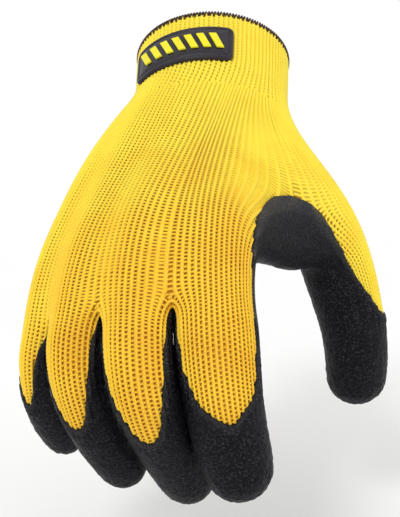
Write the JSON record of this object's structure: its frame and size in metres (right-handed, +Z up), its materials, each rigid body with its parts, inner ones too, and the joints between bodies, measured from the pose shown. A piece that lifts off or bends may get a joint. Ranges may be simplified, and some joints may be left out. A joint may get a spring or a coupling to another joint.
{
  "type": "latex coated grip glove",
  "caption": "Knitted work glove in its worn, half-closed form: rib cuff, open-knit back, and a black latex film over the palm, sides and fingertips.",
  "frame": {"origin": "centre of the cuff opening, in the plane of the hem", "axes": "+Z up as the glove is held; -Y towards the knuckles and fingertips, with the cuff sloping down 34 degrees that way; +X towards the thumb"},
  "size_m": [0.1463, 0.1738, 0.1786],
  "materials": {
    "knit": "matte yellow knit",
    "latex": "crinkled black latex",
    "hem_thread": "dark brown overlock thread",
    "badge_rubber": "satin moulded rubber",
    "badge_bar": "satin moulded rubber"
  },
  "bodies": {
    "root": {"rib_cuff": "knit", "hand_body": "knit", "index_finger": "knit", "middle_finger": "knit", "ring_finger": "knit", "little_finger": "knit", "thumb": "knit", "latex_coat": "latex", "hem_overlock": "hem_thread", "wrist_badge": "badge_rubber", "badge_bar_1": "badge_bar", "badge_bar_2": "badge_bar", "badge_bar_3": "badge_bar", "badge_bar_4": "badge_bar", "badge_bar_5": "badge_bar", "badge_bar_6": "badge_bar", "badge_bar_7": "badge_bar"}
  },
  "joints": []
}
